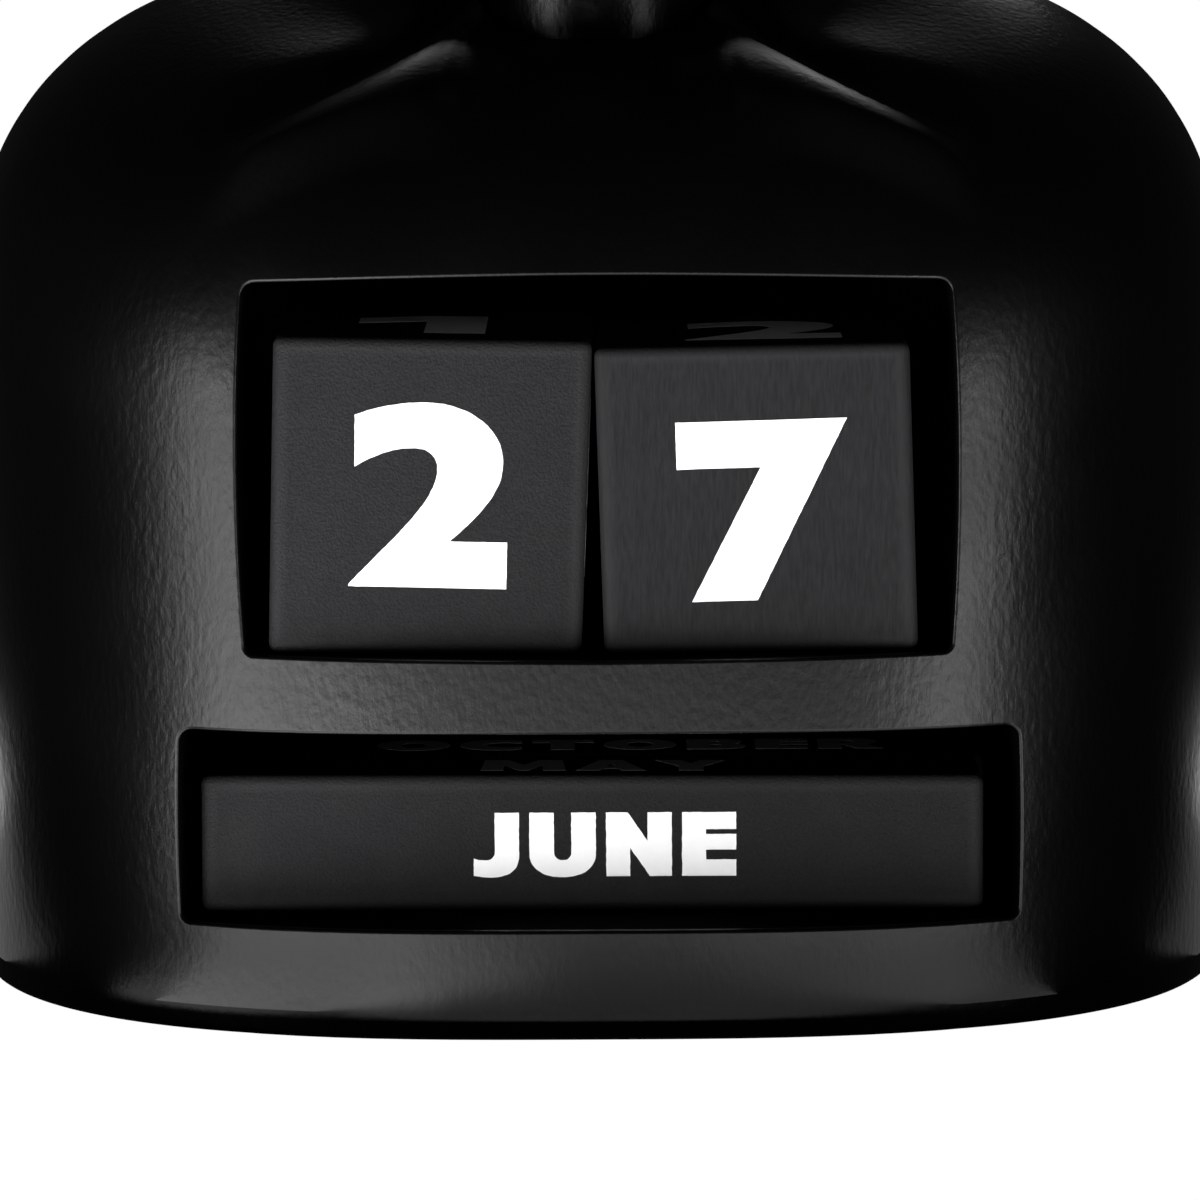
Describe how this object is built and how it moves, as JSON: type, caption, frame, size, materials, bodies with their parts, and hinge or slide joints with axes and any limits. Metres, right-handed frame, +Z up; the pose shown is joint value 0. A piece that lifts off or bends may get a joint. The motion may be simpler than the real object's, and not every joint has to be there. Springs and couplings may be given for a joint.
{
  "type": "perpetual desk calendar",
  "caption": "Bust-shaped perpetual calendar: date cubes stand in an upper chest pocket, month bars in a lower one, and the head is seated in the collar.",
  "frame": {"origin": "middle of the footprint, on the underside of the felt", "axes": "+Z up, the chest with its pockets faces -Y, +X to the viewer's right"},
  "size_m": [0.15, 0.0948, 0.1939],
  "materials": {
    "resin": "satin black lacquer on cast resin",
    "block_paint": "matte charcoal paint on wood",
    "print": "white screen print",
    "board": "plain hardboard",
    "felt": "pressed felt"
  },
  "bodies": {
    "bust": {"torso": "resin", "head": "resin", "base_plate": "board", "felt": "felt"},
    "tens": {"tens_cube": "block_paint"},
    "units": {"units_cube": "block_paint"},
    "rear_bar": {"month_bar_jan_apr": "block_paint"},
    "middle_bar": {"month_bar_sep_dec": "block_paint"},
    "front_bar": {"month_bar_may_aug": "block_paint"}
  },
  "joints": [
    {"name": "tens_cube_out", "type": "slide", "parent": "bust", "child": "tens", "axis": [0, -1, 0], "range_m": [0, 0.045]},
    {"name": "units_cube_out", "type": "slide", "parent": "bust", "child": "units", "axis": [0, -1, 0], "range_m": [0, 0.045]},
    {"name": "rear_bar_out", "type": "slide", "parent": "bust", "child": "rear_bar", "axis": [0, -1, 0], "range_m": [0, 0.06]},
    {"name": "middle_bar_out", "type": "slide", "parent": "rear_bar", "child": "middle_bar", "axis": [0, -1, 0], "range_m": [0, 0.045]},
    {"name": "front_bar_out", "type": "slide", "parent": "middle_bar", "child": "front_bar", "axis": [0, -1, 0], "range_m": [0, 0.03]}
  ]
}
